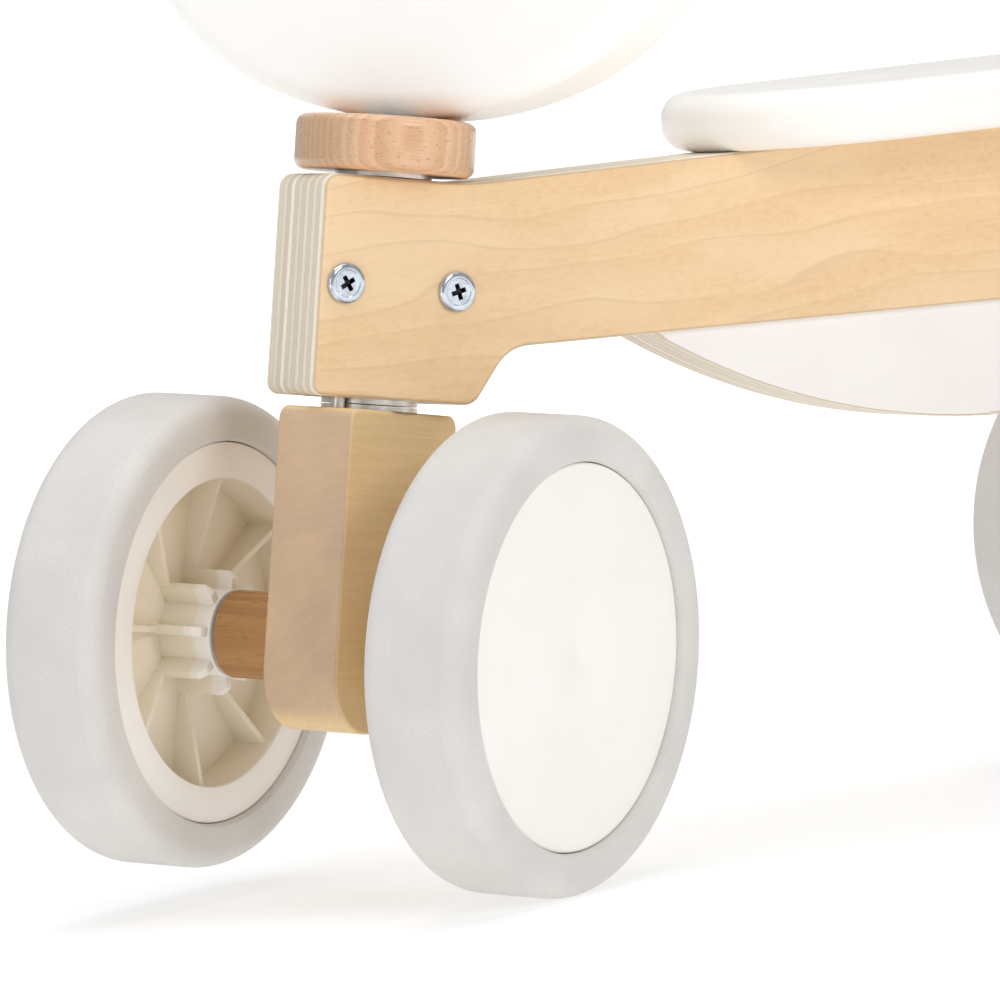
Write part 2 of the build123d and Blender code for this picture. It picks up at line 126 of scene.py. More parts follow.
sky_tree.links.new(sky_choice.outputs[0], sky_out.inputs["Surface"])

deselect()
bpy.ops.mesh.primitive_plane_add(size=FLOOR_SIZE, location=(0, 0, 0))
floor = bpy.context.object
floor.name = "studio_floor"
floor_paint = bpy.data.materials.new("floor_white")
floor_paint.use_nodes = True
floor_tree = floor_paint.node_tree
floor_shader = floor_tree.nodes["Principled BSDF"]
floor_shader.inputs["Base Color"].default_value = (FLOOR_GREY,) * 3 + (1.0,)
floor_shader.inputs["Roughness"].default_value = 0.9
floor_shader.inputs["Specular IOR Level"].default_value = 0.1
floor_spot = floor_tree.nodes.new("ShaderNodeTexCoord")
floor_reach = floor_tree.nodes.new("ShaderNodeVectorMath")
floor_reach.operation = "LENGTH"
floor_glow = floor_tree.nodes.new("ShaderNodeMapRange")
floor_glow.inputs["From Min"].default_value = FLOOR_NEAR
floor_glow.inputs["From Max"].default_value = FLOOR_FAR
floor_glow.inputs["To Min"].default_value = FLOOR_GLOW_NEAR
floor_glow.inputs["To Max"].default_value = FLOOR_GLOW_FAR
floor_tree.links.new(floor_spot.outputs["Object"], floor_reach.inputs[0])
floor_tree.links.new(floor_reach.outputs["Value"], floor_glow.inputs["Value"])
floor_tree.links.new(floor_glow.outputs["Result"], floor_shader.inputs["Emission Color"])
floor_shader.inputs["Emission Strength"].default_value = 1.0
floor.data.materials.append(floor_paint)

# ---------------------------------------------------------------------------------------
# Frame board: thirteen cross-laid birch plies pressed to 30 mm, cut to outline and lacquered.
# The two faces show a pale veneer with its grain along the beam, and the edges the plies.
FRAME_PLIES = 13
FRAME_THICKNESS = 30.0
VENEER_PALE = (243, 210, 166)
VENEER_DEEP = (226, 184, 136)
VENEER_LINE = (198, 154, 106)
VENEER_CLOUD = (247, 219, 180)
VENEER_RIM = (186, 158, 120)
PLY_LONG = (250, 241, 225)
PLY_CROSS = (231, 218, 198)
PLY_GLUE = (188, 170, 144)
MILLIMETRE = 0.001
middle_y = front_axle.y


def shade(colour):
    """A colour given in screen values as the linear values a shader takes."""
    def straight(value):
        value = value / 255.0
        return value / 12.92 if value <= 0.04045 else ((value + 0.055) / 1.055) ** 2.4
    return tuple(straight(value) for value in colour) + (1.0,)


def add(tree, kind, inputs=None, **settings):
    """Puts a node in a tree; each input is a plain value or another node's output."""
    node = tree.nodes.new(kind)
    for name, value in settings.items():
        setattr(node, name, value)
    for key, value in (inputs or {}).items():
        if isinstance(value, bpy.types.NodeSocket):
            tree.links.new(value, node.inputs[key])
        else:
            node.inputs[key].default_value = value
    return node


def reckon(tree, operation, first, second=0.0, third=0.0):
    """One step of arithmetic."""
    node = add(tree, "ShaderNodeMath", {0: first, 1: second, 2: third}, operation=operation)
    return node.outputs[0]


def ease(tree, value, low, high, start=0.0, end=1.0):
    """A value eased from start to end as it goes from low to high."""
    node = add(tree, "ShaderNodeMapRange", {
        "Value": value, "From Min": low, "From Max": high, "To Min": start, "To Max": end},
        interpolation_type="SMOOTHSTEP")
    return node.outputs["Result"]


def tint(tree, amount, first, second):
    """Two colours mixed by an amount."""
    node = add(tree, "ShaderNodeMix", {0: amount, 6: first, 7: second}, data_type="RGBA")
    return node.outputs[2]


def speckle(tree, place, scale, detail=2.0, roughness=0.5):
    """Cloudy noise, from 0 to 1."""
    node = add(tree, "ShaderNodeTexNoise", {
        "Vector": place, "Scale": scale, "Detail": detail, "Roughness": roughness})
    return node.outputs[0]


def stretch(tree, place, amounts):
    """Coordinates pulled longer or shorter along each axis."""
    node = add(tree, "ShaderNodeVectorMath", {0: place, 1: amounts}, operation="MULTIPLY")
    return node.outputs[0]


def new_group(name, inputs, outputs):
    """An empty shader group with its named sockets, and its two end nodes."""
    group = bpy.data.node_groups.new(name, "ShaderNodeTree")
    for socket, kind, value in inputs:
        made = group.interface.new_socket(socket, in_out="INPUT", socket_type=kind)
        if value is not None:
            made.default_value = value
    for socket in outputs:
        group.interface.new_socket(socket, in_out="OUTPUT", socket_type="NodeSocketFloat")
    return group, group.nodes.new("NodeGroupInput"), group.nodes.new("NodeGroupOutput")


def place_group(tree, group, inputs):
    """A group placed in a material with that material's own values; gives its outputs."""
    return add(tree, "ShaderNodeGroup", inputs, node_tree=group).outputs


# Timber in millimetres, its grain along X: growth rings round a pith that wanders, long
# fibres, short dark flecks, and slow clouds of tone.
VECTOR, FLOAT = "NodeSocketVector", "NodeSocketFloat"
timber, timber_in, timber_out = new_group(
    "timber_grain",
    [("Place", VECTOR, None), ("Pith", VECTOR, (0.0, 0.0, -80.0)), ("Ring Gap", FLOAT, 6.0),
     ("Wander", FLOAT, 8.0), ("Fleck Scale", FLOAT, 1.0), ("Run", FLOAT, 0.09)],
    ["Rings", "Line", "Fibre", "Flecks", "Cloud"])
run = add(timber, "ShaderNodeCombineXYZ", {0: timber_in.outputs["Run"], 1: 1.0, 2: 1.0})
along_grain = stretch(timber, timber_in.outputs["Place"], run.outputs[0])
drift = add(timber, "ShaderNodeTexNoise", {"Vector": along_grain, "Scale": 0.035, "Detail": 2.0})
drift = add(timber, "ShaderNodeVectorMath", {0: drift.outputs[1], 1: (0.5, 0.5, 0.5)},
            operation="SUBTRACT").outputs[0]
drift = add(timber, "ShaderNodeVectorMath", {0: drift, "Scale": timber_in.outputs["Wander"]},
            operation="SCALE").outputs[0]
trunk = add(timber, "ShaderNodeVectorMath", {0: along_grain, 1: drift}, operation="ADD").outputs[0]
trunk = add(timber, "ShaderNodeVectorMath", {0: trunk, 1: timber_in.outputs["Pith"]},
            operation="SUBTRACT").outputs[0]
trunk = stretch(timber, trunk, (0.55, 1.0, 1.0))
radius = add(timber, "ShaderNodeVectorMath", {0: trunk}, operation="LENGTH").outputs["Value"]
ring_count = reckon(timber, "DIVIDE", radius, timber_in.outputs["Ring Gap"])
ring_phase = reckon(timber, "FRACT", ring_count)
early = ease(timber, ring_phase, 0.0, 0.72)
late = ease(timber, ring_phase, 1.0, 0.86)
timber.links.new(reckon(timber, "MULTIPLY", early, late), timber_out.inputs["Rings"])
line_start = ease(timber, ring_phase, 0.84, 0.93)
line_end = ease(timber, ring_phase, 0.99, 0.95)
timber.links.new(reckon(timber, "MULTIPLY", line_start, line_end), timber_out.inputs["Line"])
fibre_place = stretch(timber, timber_in.outputs["Place"], (0.04, 1.0, 1.0))
timber.links.new(speckle(timber, fibre_place, 1.5, 4.0, 0.65), timber_out.inputs["Fibre"])
fleck_place = add(timber, "ShaderNodeVectorMath", {
    0: stretch(timber, timber_in.outputs["Place"], (0.32, 1.9, 1.9)),
    "Scale": timber_in.outputs["Fleck Scale"]}, operation="SCALE").outputs[0]
timber.links.new(ease(timber, speckle(timber, fleck_place, 1.0, 1.0), 0.6, 0.74),
                 timber_out.inputs["Flecks"])
timber.links.new(speckle(timber, stretch(timber, timber_in.outputs["Place"], (0.4, 1.0, 1.0)),
                         0.045, 2.0), timber_out.inputs["Cloud"])

# Cross-laid plies across a board's thickness: every other ply is end grain, thin glue lines
# lie between them, and no two plies have quite the same tone.
plies, plies_in, plies_out = new_group(
    "cross_plies",
    [("Place", VECTOR, None), ("Across", FLOAT, 0.0), ("Plies", FLOAT, 13.0)],
    ["Cross Ply", "Glue", "Tone", "Streak"])
ply_wobble = speckle(plies, stretch(plies, plies_in.outputs["Place"], (1.0, 0.0, 1.0)), 0.06, 2.0)
ply_count = reckon(plies, "MULTIPLY", plies_in.outputs["Across"], plies_in.outputs["Plies"])
ply_count = reckon(plies, "ADD", ply_count, reckon(plies, "MULTIPLY", ply_wobble, 0.22))
ply_number = reckon(plies, "FLOOR", ply_count)
ply_depth = reckon(plies, "FRACT", ply_count)
plies.links.new(reckon(plies, "PINGPONG", ply_number, 1.0), plies_out.inputs["Cross Ply"])
glue_line = reckon(plies, "ABSOLUTE", reckon(plies, "SUBTRACT", ply_depth, 0.5))
plies.links.new(ease(plies, glue_line, 0.41, 0.49), plies_out.inputs["Glue"])
ply_tone = add(plies, "ShaderNodeTexWhiteNoise", {"W": ply_number}, noise_dimensions="1D")
plies.links.new(ply_tone.outputs["Value"], plies_out.inputs["Tone"])
plies.links.new(speckle(plies, stretch(plies, plies_in.outputs["Place"], (0.25, 2.6, 0.25)),
                        1.0, 3.0, 0.6), plies_out.inputs["Streak"])


def new_finish(name):
    """A material with its shader, ready for nodes."""
    finish = bpy.data.materials.new(name)
    finish.use_nodes = True
    tree = finish.node_tree
    return finish, tree, tree.nodes["Principled BSDF"]


def own_place(tree, centre=(0.0, 0.0, 0.0), turned=(0.0, 0.0, 0.0)):
    """Millimetres from a piece's own centre along its own axes."""
    spot = add(tree, "ShaderNodeTexCoord")
    node = add(tree, "ShaderNodeMapping", {
        "Vector": spot.outputs["Object"], "Location": centre, "Rotation": turned,
        "Scale": (MILLIMETRE,) * 3}, vector_type="TEXTURE")
    return node.outputs[0]


def own_facing(tree, turned=(0.0, 0.0, 0.0)):
    """How squarely the surface faces each of a piece's own axes, from 0 to 1."""
    spot = add(tree, "ShaderNodeTexCoord")
    node = add(tree, "ShaderNodeMapping", {
        "Vector": spot.outputs["Normal"], "Rotation": turned}, vector_type="TEXTURE")
    size = add(tree, "ShaderNodeVectorMath", {0: node.outputs[0]}, operation="ABSOLUTE")
    return add(tree, "ShaderNodeSeparateXYZ", {0: size.outputs[0]}).outputs


def raise_grain(tree, shader, height, distance, strength=1.0):
    """Relief on the shader's normal, its full height given in metres."""
    bump = add(tree, "ShaderNodeBump", {"Height": height, "Distance": distance,
                                        "Strength": strength})
    tree.links.new(bump.outputs[0], shader.inputs["Normal"])


def dress(names, finish):
    """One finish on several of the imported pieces."""
    for name in names:
        mesh = nodes[name].data
        if not mesh.materials:
            mesh.materials.append(finish)
        for index in range(len(mesh.materials)):
            mesh.materials[index] = finish


def edge_plies(tree, place, thickness, layers):
    """Colour and relief of a plywood board's edge, with the plies across Y."""
    across = add(tree, "ShaderNodeSeparateXYZ", {0: place}).outputs[1]
    across = reckon(tree, "ADD", reckon(tree, "DIVIDE", across, thickness), 0.5)
    ply = place_group(tree, plies, {"Place": place, "Across": across, "Plies": float(layers)})
    colour = tint(tree, ply["Cross Ply"], shade(PLY_LONG), shade(PLY_CROSS))
    darker = tint(tree, reckon(tree, "MULTIPLY", ply["Tone"], 0.32), colour, shade(PLY_GLUE))
    streaked = tint(tree, ease(tree, ply["Streak"], 0.52, 0.72, 0.0, 0.4), darker,
                    shade(PLY_GLUE))
    return tint(tree, reckon(tree, "MULTIPLY", ply["Glue"], 0.62), streaked,
                shade(PLY_GLUE)), ply["Streak"]


birch, tree, shader = new_finish("birch_plywood")
place = own_place(tree, (0.0, middle_y, 0.0))
facing = own_facing(tree)
grain = place_group(tree, timber, {"Place": place, "Pith": (0.0, -46.0, 60.0), "Ring Gap": 9.0,
                                   "Wander": 42.0, "Fleck Scale": 1.3, "Run": 0.2})
line_strength = reckon(tree, "MULTIPLY", grain["Line"],
                       ease(tree, grain["Cloud"], 0.4, 0.62, 0.08, 0.4))
face = tint(tree, reckon(tree, "MULTIPLY", grain["Rings"], 0.22), shade(VENEER_PALE),
            shade(VENEER_DEEP))
face = tint(tree, line_strength, face, shade(VENEER_LINE))
face = tint(tree, ease(tree, grain["Fibre"], 0.4, 0.75, 0.0, 0.24), face, shade(VENEER_DEEP))
mottle = speckle(tree, stretch(tree, place, (0.5, 1.0, 1.0)), 0.55, 4.0, 0.75)
face = tint(tree, ease(tree, mottle, 0.42, 0.7, 0.0, 0.42), face, shade(VENEER_DEEP))
face = tint(tree, reckon(tree, "MULTIPLY", grain["Flecks"], 0.12), face, shade(VENEER_LINE))
face = tint(tree, ease(tree, grain["Cloud"], 0.38, 0.68, 0.0, 0.5), face, shade(VENEER_CLOUD))
edge, streak = edge_plies(tree, place, FRAME_THICKNESS, FRAME_PLIES)
body_colour = tint(tree, ease(tree, facing[1], 0.6, 0.85), edge, face)
rim = reckon(tree, "MULTIPLY", ease(tree, facing[1], 0.3, 0.62), ease(tree, facing[1], 0.97, 0.8))
body_colour = tint(tree, reckon(tree, "MULTIPLY", rim, 0.55), body_colour, shade(VENEER_RIM))
tree.links.new(body_colour, shader.inputs["Base Color"])
tree.links.new(ease(tree, grain["Fibre"], 0.3, 0.7, 0.46, 0.6), shader.inputs["Roughness"])
shader.inputs["Specular IOR Level"].default_value = 0.35
relief = reckon(tree, "ADD", grain["Fibre"], reckon(tree, "MULTIPLY", streak, 0.6))
raise_grain(tree, shader, relief, 0.00005, 0.6)
dress(["frame_board"], birch)

# ---------------------------------------------------------------------------------------
# Belly board: a plywood board let in under the beam on dowels, its faces sprayed warm white
# and its edge left as cut, so the plies show along the curve.
BELLY_PLIES = 11
BELLY_THICKNESS = 24.0
BELLY_WHITE, BELLY_WHITE_LOW = (249, 244, 240), (243, 236, 230)

film, film_in, film_out = new_group(
    "sprayed_film",
    [("Place", VECTOR, None), ("Peel Size", FLOAT, 1.2), ("Cloud Size", FLOAT, 40.0)],
    ["Peel", "Cloud", "Rub"])
peel = speckle(film, film_in.outputs["Place"],
               reckon(film, "DIVIDE", 1.0, film_in.outputs["Peel Size"]), 2.0, 0.5)
film.links.new(peel, film_out.inputs["Peel"])
film.links.new(speckle(film, film_in.outputs["Place"],
                       reckon(film, "DIVIDE", 1.0, film_in.outputs["Cloud Size"]), 2.0),
               film_out.inputs["Cloud"])
film.links.new(speckle(film, film_in.outputs["Place"], 0.16, 5.0, 0.7), film_out.inputs["Rub"])

belly_paint, tree, shader = new_finish("white_belly_board")
place = own_place(tree, (0.0, middle_y, 0.0))
facing = own_facing(tree)
spray = place_group(tree, film, {"Place": place, "Peel Size": 0.8, "Cloud Size": 35.0})
face = tint(tree, ease(tree, spray["Cloud"], 0.35, 0.7, 0.0, 0.35), shade(BELLY_WHITE),
            shade(BELLY_WHITE_LOW))
edge, streak = edge_plies(tree, place, BELLY_THICKNESS, BELLY_PLIES)
colour = tint(tree, ease(tree, facing[1], 0.86, 0.97), edge, face)
tree.links.new(colour, shader.inputs["Base Color"])
tree.links.new(ease(tree, spray["Rub"], 0.3, 0.7, 0.42, 0.56), shader.inputs["Roughness"])
shader.inputs["Specular IOR Level"].default_value = 0.35
raise_grain(tree, shader, reckon(tree, "ADD", spray["Peel"], streak), 0.00004, 0.6)
dress(["belly_board"], belly_paint)

# ---------------------------------------------------------------------------------------
# Seat and head board: solid boards with their edges rounded over, sprayed a smooth satin
# white. The seat is bolted down on the frame, and the head board stands on dowels.
SEAT_WHITE, SEAT_WHITE_LOW = (253, 250, 245), (248, 244, 238)
HEAD_WHITE, HEAD_WHITE_LOW = (255, 253, 250), (252, 249, 244)
PAINT_PEEL = 1.4


def sprayed_white(name, colour, low, peel_size):
    """A satin paint with a fine orange peel and a slightly rubbed sheen."""
    finish, tree, shader = new_finish(name)
    place = own_place(tree, (0.0, middle_y, 0.0))
    spray = place_group(tree, film, {"Place": place, "Peel Size": peel_size,
                                     "Cloud Size": 55.0})
    coat = tint(tree, ease(tree, spray["Cloud"], 0.35, 0.7, 0.0, 0.5), shade(colour), shade(low))
    tree.links.new(coat, shader.inputs["Base Color"])
    tree.links.new(ease(tree, spray["Rub"], 0.3, 0.75, 0.3, 0.44), shader.inputs["Roughness"])
    shader.inputs["Specular IOR Level"].default_value = 0.45
    raise_grain(tree, shader, spray["Peel"], 0.00003, 0.5)
    return finish


seat_paint = sprayed_white("seat_satin_white", SEAT_WHITE, SEAT_WHITE_LOW, PAINT_PEEL)
head_paint = sprayed_white("head_satin_white", HEAD_WHITE, HEAD_WHITE_LOW, PAINT_PEEL)
dress(["seat"], seat_paint)
dress(["head_board"], head_paint)

# ---------------------------------------------------------------------------------------
# Solid timber: fork and rear blocks of close-grained maple, a beech collar, handlebar and
# dowels, and brown-stained axle tubes. Each follows its own piece's axes.
steer_up = Vector(joints["steering"]["axis"]).normalized()
axle_left = Vector(joints["front_left_spin"]["axis"]).normalized()
fork_forward = axle_left.cross(steer_up).normalized()
fork_turn = Matrix((fork_forward, axle_left, steer_up)).transposed()
neck_forward = Vector((0, 1, 0)).cross(steer_up).normalized()
neck_turn = Matrix((neck_forward, Vector((0, 1, 0)), steer_up)).transposed()
rear_axle = (Vector(joints["rear_left_spin"]["pos_m"])
             + Vector(joints["rear_right_spin"]["pos_m"])) / 2
bike_turn = Matrix.Identity(3)


def solid_timber(name, centre, turned, pale, deep, end, ring_gap, pith, wander, marks,
                 sheen=0.5, rings=0.45, lacquer=0.0):
    """Timber whose grain runs along the piece's own X, darker where the grain ends."""
    finish, tree, shader = new_finish(name)
    angles = tuple(turned.to_euler())
    place = own_place(tree, tuple(centre), angles)
    facing = own_facing(tree, angles)
    grain = place_group(tree, timber, {"Place": place, "Pith": pith, "Ring Gap": ring_gap,
                                       "Wander": wander})
    side = tint(tree, reckon(tree, "MULTIPLY", grain["Rings"], rings), shade(pale), shade(deep))
    side = tint(tree, ease(tree, grain["Fibre"], 0.35, 0.72, 0.0, 0.32), side, shade(deep))
    butt = tint(tree, reckon(tree, "MULTIPLY", grain["Rings"], rings), shade(end),
                shade(tuple(0.9 * value for value in end)))
    pores = speckle(tree, stretch(tree, place, (0.5, 1.0, 1.0)), 2.4, 2.0, 0.7)
    butt = tint(tree, ease(tree, pores, 0.5, 0.72, 0.0, 0.4), butt,
                shade(tuple(0.84 * value for value in end)))
    colour = tint(tree, ease(tree, facing[0], 0.45, 0.85), side, butt)
    colour = tint(tree, reckon(tree, "MULTIPLY", grain["Flecks"], marks), colour,
                  shade(tuple(0.62 * value for value in deep)))
    colour = tint(tree, ease(tree, grain["Cloud"], 0.35, 0.7, 0.0, 0.25), colour, shade(pale))
    tree.links.new(colour, shader.inputs["Base Color"])
    tree.links.new(ease(tree, grain["Fibre"], 0.3, 0.7, sheen - 0.05, sheen + 0.1),
                   shader.inputs["Roughness"])
    shader.inputs["Specular IOR Level"].default_value = 0.35
    shader.inputs["Coat Weight"].default_value = lacquer
    shader.inputs["Coat Roughness"].default_value = 0.2
    relief = reckon(tree, "SUBTRACT", grain["Fibre"],
                    reckon(tree, "MULTIPLY", grain["Flecks"], 0.5))
    raise_grain(tree, shader, relief, 0.00006, 0.6)
    return finish


grain_across = Matrix(((0, -1, 0), (1, 0, 0), (0, 0, 1)))
MAPLE_SIDE, MAPLE_DEEP, MAPLE_END = (237, 206, 157), (217, 181, 127), (203, 172, 143)
BEECH, BEECH_DEEP, BEECH_END = (232, 190, 152), (206, 152, 108), (205, 168, 132)
STAIN, STAIN_DEEP, STAIN_END = (192, 146, 96), (150, 106, 64), (132, 94, 60)

for block, centre, turned in (("fork_block", front_axle, fork_turn),
                              ("rear_block", rear_axle, bike_turn)):
    maple = solid_timber("maple_" + block, centre, turned, MAPLE_SIDE, MAPLE_DEEP, MAPLE_END,
                         ring_gap=4.2, pith=(0.0, 30.0, -52.0), wander=22.0, marks=0.1,
                         sheen=0.5, rings=0.17)
    dress([block], maple)

collar_turn = fork_turn @ Matrix.Rotation(math.radians(-40.0), 3, "Z")
collar_beech = solid_timber("beech_collar", front_axle, collar_turn, BEECH, BEECH_DEEP, BEECH_END,
                            ring_gap=2.3, pith=(0.0, 130.0, 146.0), wander=3.0, marks=0.5,
                            sheen=0.3, rings=0.6, lacquer=0.5)
bar_beech = solid_timber("beech_handlebar", front_axle, fork_turn @ grain_across, BEECH,
                         BEECH_DEEP, BEECH_END, ring_gap=4.0, pith=(0.0, 60.0, 200.0),
                         wander=10.0, marks=0.45, sheen=0.45)
upright = Matrix(((0, 0, -1), (0, 1, 0), (1, 0, 0)))
dowel_beech = solid_timber("beech_dowels", front_axle, fork_turn @ upright, BEECH, BEECH_DEEP,
                           BEECH_END, ring_gap=3.0, pith=(0.0, 20.0, 0.0), wander=5.0, marks=0.4)
dress(["collar"], collar_beech)
dress(["handlebar"], bar_beech)
dress(["head_dowels", "belly_dowels"], dowel_beech)

for tube, centre, turned in (("front_axle_tube", front_axle, fork_turn @ grain_across),
                             ("rear_axle_tube", rear_axle, grain_across)):
    stained = solid_timber("stained_" + tube, centre, turned, STAIN, STAIN_DEEP, STAIN_END,
                           ring_gap=3.2, pith=(0.0, 26.0, 6.0), wander=6.0, marks=0.35,
                           sheen=0.42)
    dress([tube], stained)

# ---------------------------------------------------------------------------------------
# Steel: the zinc-plated washers, sleeve, pin, bolts, nuts and axle rods that hold the bike
# together. They are turned, so fine lines run round each one's axis.
STEERING_ZINC, STEERING_ZINC_DULL = (226, 222, 214), (196, 190, 181)
AXLE_ZINC, AXLE_ZINC_DULL = (222, 219, 213), (190, 186, 180)

turned_lines, lines_in, lines_out = new_group(
    "turned_lines", [("Place", VECTOR, None), ("Lines", FLOAT, 6.0)], ["Lines", "Smear"])
spot = add(turned_lines, "ShaderNodeSeparateXYZ", {0: lines_in.outputs["Place"]}).outputs
flat_spot = add(turned_lines, "ShaderNodeCombineXYZ", {0: spot[0], 1: spot[1], 2: 0.0}).outputs[0]
from_axis = add(turned_lines, "ShaderNodeVectorMath", {0: flat_spot}, operation="LENGTH")
ring_place = add(turned_lines, "ShaderNodeCombineXYZ", {
    0: from_axis.outputs["Value"], 1: spot[2], 2: 0.0}).outputs[0]
turned_lines.links.new(speckle(turned_lines, ring_place, lines_in.outputs["Lines"], 3.0, 0.7),
                       lines_out.inputs["Lines"])
turned_lines.links.new(speckle(turned_lines, lines_in.outputs["Place"], 0.35, 4.0, 0.6),
                       lines_out.inputs["Smear"])


def turned_metal(name, centre, turned, bright, dull, rough, lines=6.0):
    """Plated steel, turned and lightly handled."""
    finish, tree, shader = new_finish(name)
    place = own_place(tree, tuple(centre), tuple(turned.to_euler()))
    marks = place_group(tree, turned_lines, {"Place": place, "Lines": lines})
    colour = tint(tree, ease(tree, marks["Smear"], 0.3, 0.75), shade(bright), shade(dull))
    tree.links.new(colour, shader.inputs["Base Color"])
    tree.links.new(ease(tree, marks["Lines"], 0.3, 0.7, rough, rough + 0.1),
                   shader.inputs["Roughness"])
    shader.inputs["Metallic"].default_value = 1.0
    raise_grain(tree, shader, marks["Lines"], 0.00001, 0.4)
    return finish


on_its_side = Matrix.Rotation(math.radians(-90), 3, "X")
steering_steel = turned_metal("zinc_steering_steel", front_axle, neck_turn, STEERING_ZINC,
                              STEERING_ZINC_DULL, rough=0.26)
front_axle_steel = turned_metal("zinc_front_axle", front_axle, fork_turn @ on_its_side,
                                AXLE_ZINC, AXLE_ZINC_DULL, rough=0.28)
rear_axle_steel = turned_metal("zinc_rear_axle", rear_axle, on_its_side,
                               AXLE_ZINC, AXLE_ZINC_DULL, rough=0.28)
dress(["steering_sleeve", "neck_washer", "fork_washer", "collar_washer", "steering_bolt",
       "steering_barrel_nut", "stop_pin", "seat_bolts", "seat_barrel_nuts",
       "rear_block_bolts", "rear_barrel_nuts"], steering_steel)
dress(["front_axle_rod", "front_axle_washers", "front_axle_nuts"], front_axle_steel)
dress(["rear_axle_rod", "rear_axle_washers", "rear_axle_nuts"], rear_axle_steel)

# ---------------------------------------------------------------------------------------
# Neck bolts: two chrome-plated furniture bolts with low domed heads and a cross drive, put
# in from the left and drawn into sleeve nuts with the same head on the right.
HEAD_RADIUS = 0.0060
HEAD_FLAT = 0.0042
HEAD_HEIGHT = 0.0019
HEAD_ROUNDING = HEAD_HEIGHT * 0.74
SHANK = 0.024
BOLT_SHANK_RADIUS = 0.0029
NUT_SHANK_RADIUS = 0.0041
NUT_BORE_RADIUS = 0.00295
BOLT_ALONG_NECK = 0.0184
BOLT_UP_NECK = 0.1042
HALF_BOARD = 0.015
CROSS_LENGTH = 0.0064
CROSS_WIDTH = 0.0016
CROSS_DEPTH = 0.0021
CROSS_TAPER = (0.55, 0.8, 1.0)
CHROME, CHROME_DULL = (212, 218, 226), (178, 186, 197)
DRIVE_SHADE, DRIVE_SHADE_DULL = (64, 66, 70), (40, 42, 46)


def pick(*pieces):
    """Only these pieces selected, and the first of them active."""
    deselect()
    for piece in pieces:
        piece.select_set(True)
    bpy.context.view_layer.objects.active = pieces[0]


def clear_marks(piece):
    """Out of edit mode, with nothing on the piece selected; gives its mesh."""
    bpy.ops.object.mode_set(mode="OBJECT")
    mesh = piece.data
    for part in (mesh.vertices, mesh.edges, mesh.polygons):
        part.foreach_set("select", [False] * len(part))
    return mesh


def select_faces(piece, wanted):
    """In edit mode, leaves selected only the faces that wanted(centre, normal) is true for."""
    mesh = clear_marks(piece)
    for polygon in mesh.polygons:
        polygon.select = bool(wanted(polygon.center, polygon.normal))
    bpy.ops.object.mode_set(mode="EDIT")


def select_edges(piece, wanted):
    """In edit mode, leaves selected only the edges that wanted(end, end) is true for."""
    bpy.ops.mesh.select_mode(type="EDGE")
    mesh = clear_marks(piece)
    for edge in mesh.edges:
        first, second = (mesh.vertices[index].co for index in edge.vertices)
        edge.select = bool(wanted(first, second))
    bpy.ops.object.mode_set(mode="EDIT")


def round_blank(name, radius, depth, middle, sides=96):
    """A round blank along Z, open for shaping in edit mode."""
    deselect()
    bpy.ops.mesh.primitive_cylinder_add(vertices=sides, radius=radius, depth=depth,
                                        location=(0, 0, middle))
    piece = bpy.context.object
    piece.name = name
    bpy.ops.object.transform_apply(location=True, rotation=True, scale=True)
    bpy.ops.object.mode_set(mode="EDIT")
    bpy.ops.mesh.select_mode(type="FACE")
    return piece


def radius_of(point):
    """How far a point is from the Z axis."""
    return math.hypot(point.x, point.y)


def close_up(piece, angle):
    """Back to object mode with clean outward faces, smooth up to an angle."""
    bpy.ops.object.mode_set(mode="EDIT")
    bpy.ops.mesh.select_all(action="SELECT")
    bpy.ops.mesh.remove_doubles(threshold=1e-6)
    bpy.ops.mesh.normals_make_consistent(inside=False)
    bpy.ops.object.mode_set(mode="OBJECT")
    pick(piece)
    bpy.ops.object.shade_smooth_by_angle(angle=math.radians(angle))
    piece.data.materials.clear()
    return piece


def copy_to(piece, name, place, finish=None):
    """A copy with its own mesh, its place put into the mesh."""
    twin = piece.copy()
    twin.data = piece.data.copy()
    twin.name = name
    twin.data.name = name
    scene.collection.objects.link(twin)
    twin.data.transform(place)
    if finish:
        twin.data.materials.clear()
        twin.data.materials.append(finish)
    return twin


def join(pieces, name):
    """Several pieces of one thing made one piece."""
    pick(*pieces)
    bpy.ops.object.join()
    pieces[0].name = name
    pieces[0].data.name = name
    return pieces[0]


def cross_cutter():
    """The tapered four-winged punch that presses a cross drive."""
    wings = []
    for angle in (0.0, 90.0):
        deselect()
        bpy.ops.mesh.primitive_cube_add(size=1.0, location=(0, 0, 0))
        wing = bpy.context.object
        wing.scale = (CROSS_LENGTH, CROSS_WIDTH, 2 * CROSS_DEPTH)
        bpy.ops.object.transform_apply(location=True, rotation=True, scale=True)
        bpy.ops.object.mode_set(mode="EDIT")
        bpy.ops.mesh.select_mode(type="FACE")
        select_faces(wing, lambda centre, normal: normal.z < -0.9)
        bpy.ops.transform.resize(value=CROSS_TAPER)
        bpy.ops.object.mode_set(mode="OBJECT")
        wing.data.transform(Matrix.Rotation(math.radians(angle), 4, "Z")
                            @ Matrix.Translation((0, 0, HEAD_HEIGHT)))
        wings.append(wing)
    return join(wings, "cross_punch")


